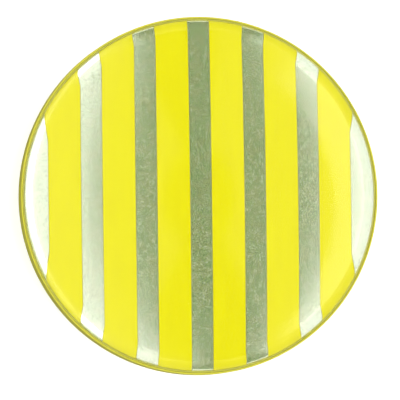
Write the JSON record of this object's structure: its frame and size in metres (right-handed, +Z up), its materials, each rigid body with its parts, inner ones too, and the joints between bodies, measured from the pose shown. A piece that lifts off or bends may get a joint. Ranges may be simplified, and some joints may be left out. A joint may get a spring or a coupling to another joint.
{
  "type": "raised pavement marker",
  "caption": "Low round stick-down road marker with a clear domed lens over parallel silver and yellow reflective strips, held in a yellow ribbed shell filled with epoxy.",
  "frame": {"origin": "on the road, under the middle of the marker", "axes": "+Z up from the road, +Y along the strips, +X across them"},
  "size_m": [0.1, 0.1, 0.018],
  "materials": {
    "shell": "moulded yellow plastic, satin, fine texture",
    "potting": "grit-filled epoxy, ground flat",
    "bond": "cured adhesive film",
    "plate": "off-white plastic plate, satin",
    "silver_film": "metallised reflective film with a fine sparkle",
    "yellow_film": "bright yellow film, semi-gloss",
    "lens": "clear acrylic, polished",
    "sealant": "translucent olive sealant"
  },
  "bodies": {
    "root": {"shell_body": "shell", "potting_hub": "potting", "potting_sector_1": "potting", "potting_sector_2": "potting", "potting_sector_3": "potting", "potting_sector_4": "potting", "potting_sector_5": "potting", "potting_sector_6": "potting", "bond_film": "bond", "carrier_plate": "plate", "silver_strip_1": "silver_film", "silver_strip_2": "silver_film", "silver_strip_3": "silver_film", "silver_strip_4": "silver_film", "silver_strip_5": "silver_film", "silver_strip_6": "silver_film", "silver_strip_7": "silver_film", "yellow_strip_1": "yellow_film", "yellow_strip_2": "yellow_film", "yellow_strip_3": "yellow_film", "yellow_strip_4": "yellow_film", "yellow_strip_5": "yellow_film", "yellow_strip_6": "yellow_film", "lens_dome": "lens", "edge_seal": "sealant"}
  },
  "joints": []
}
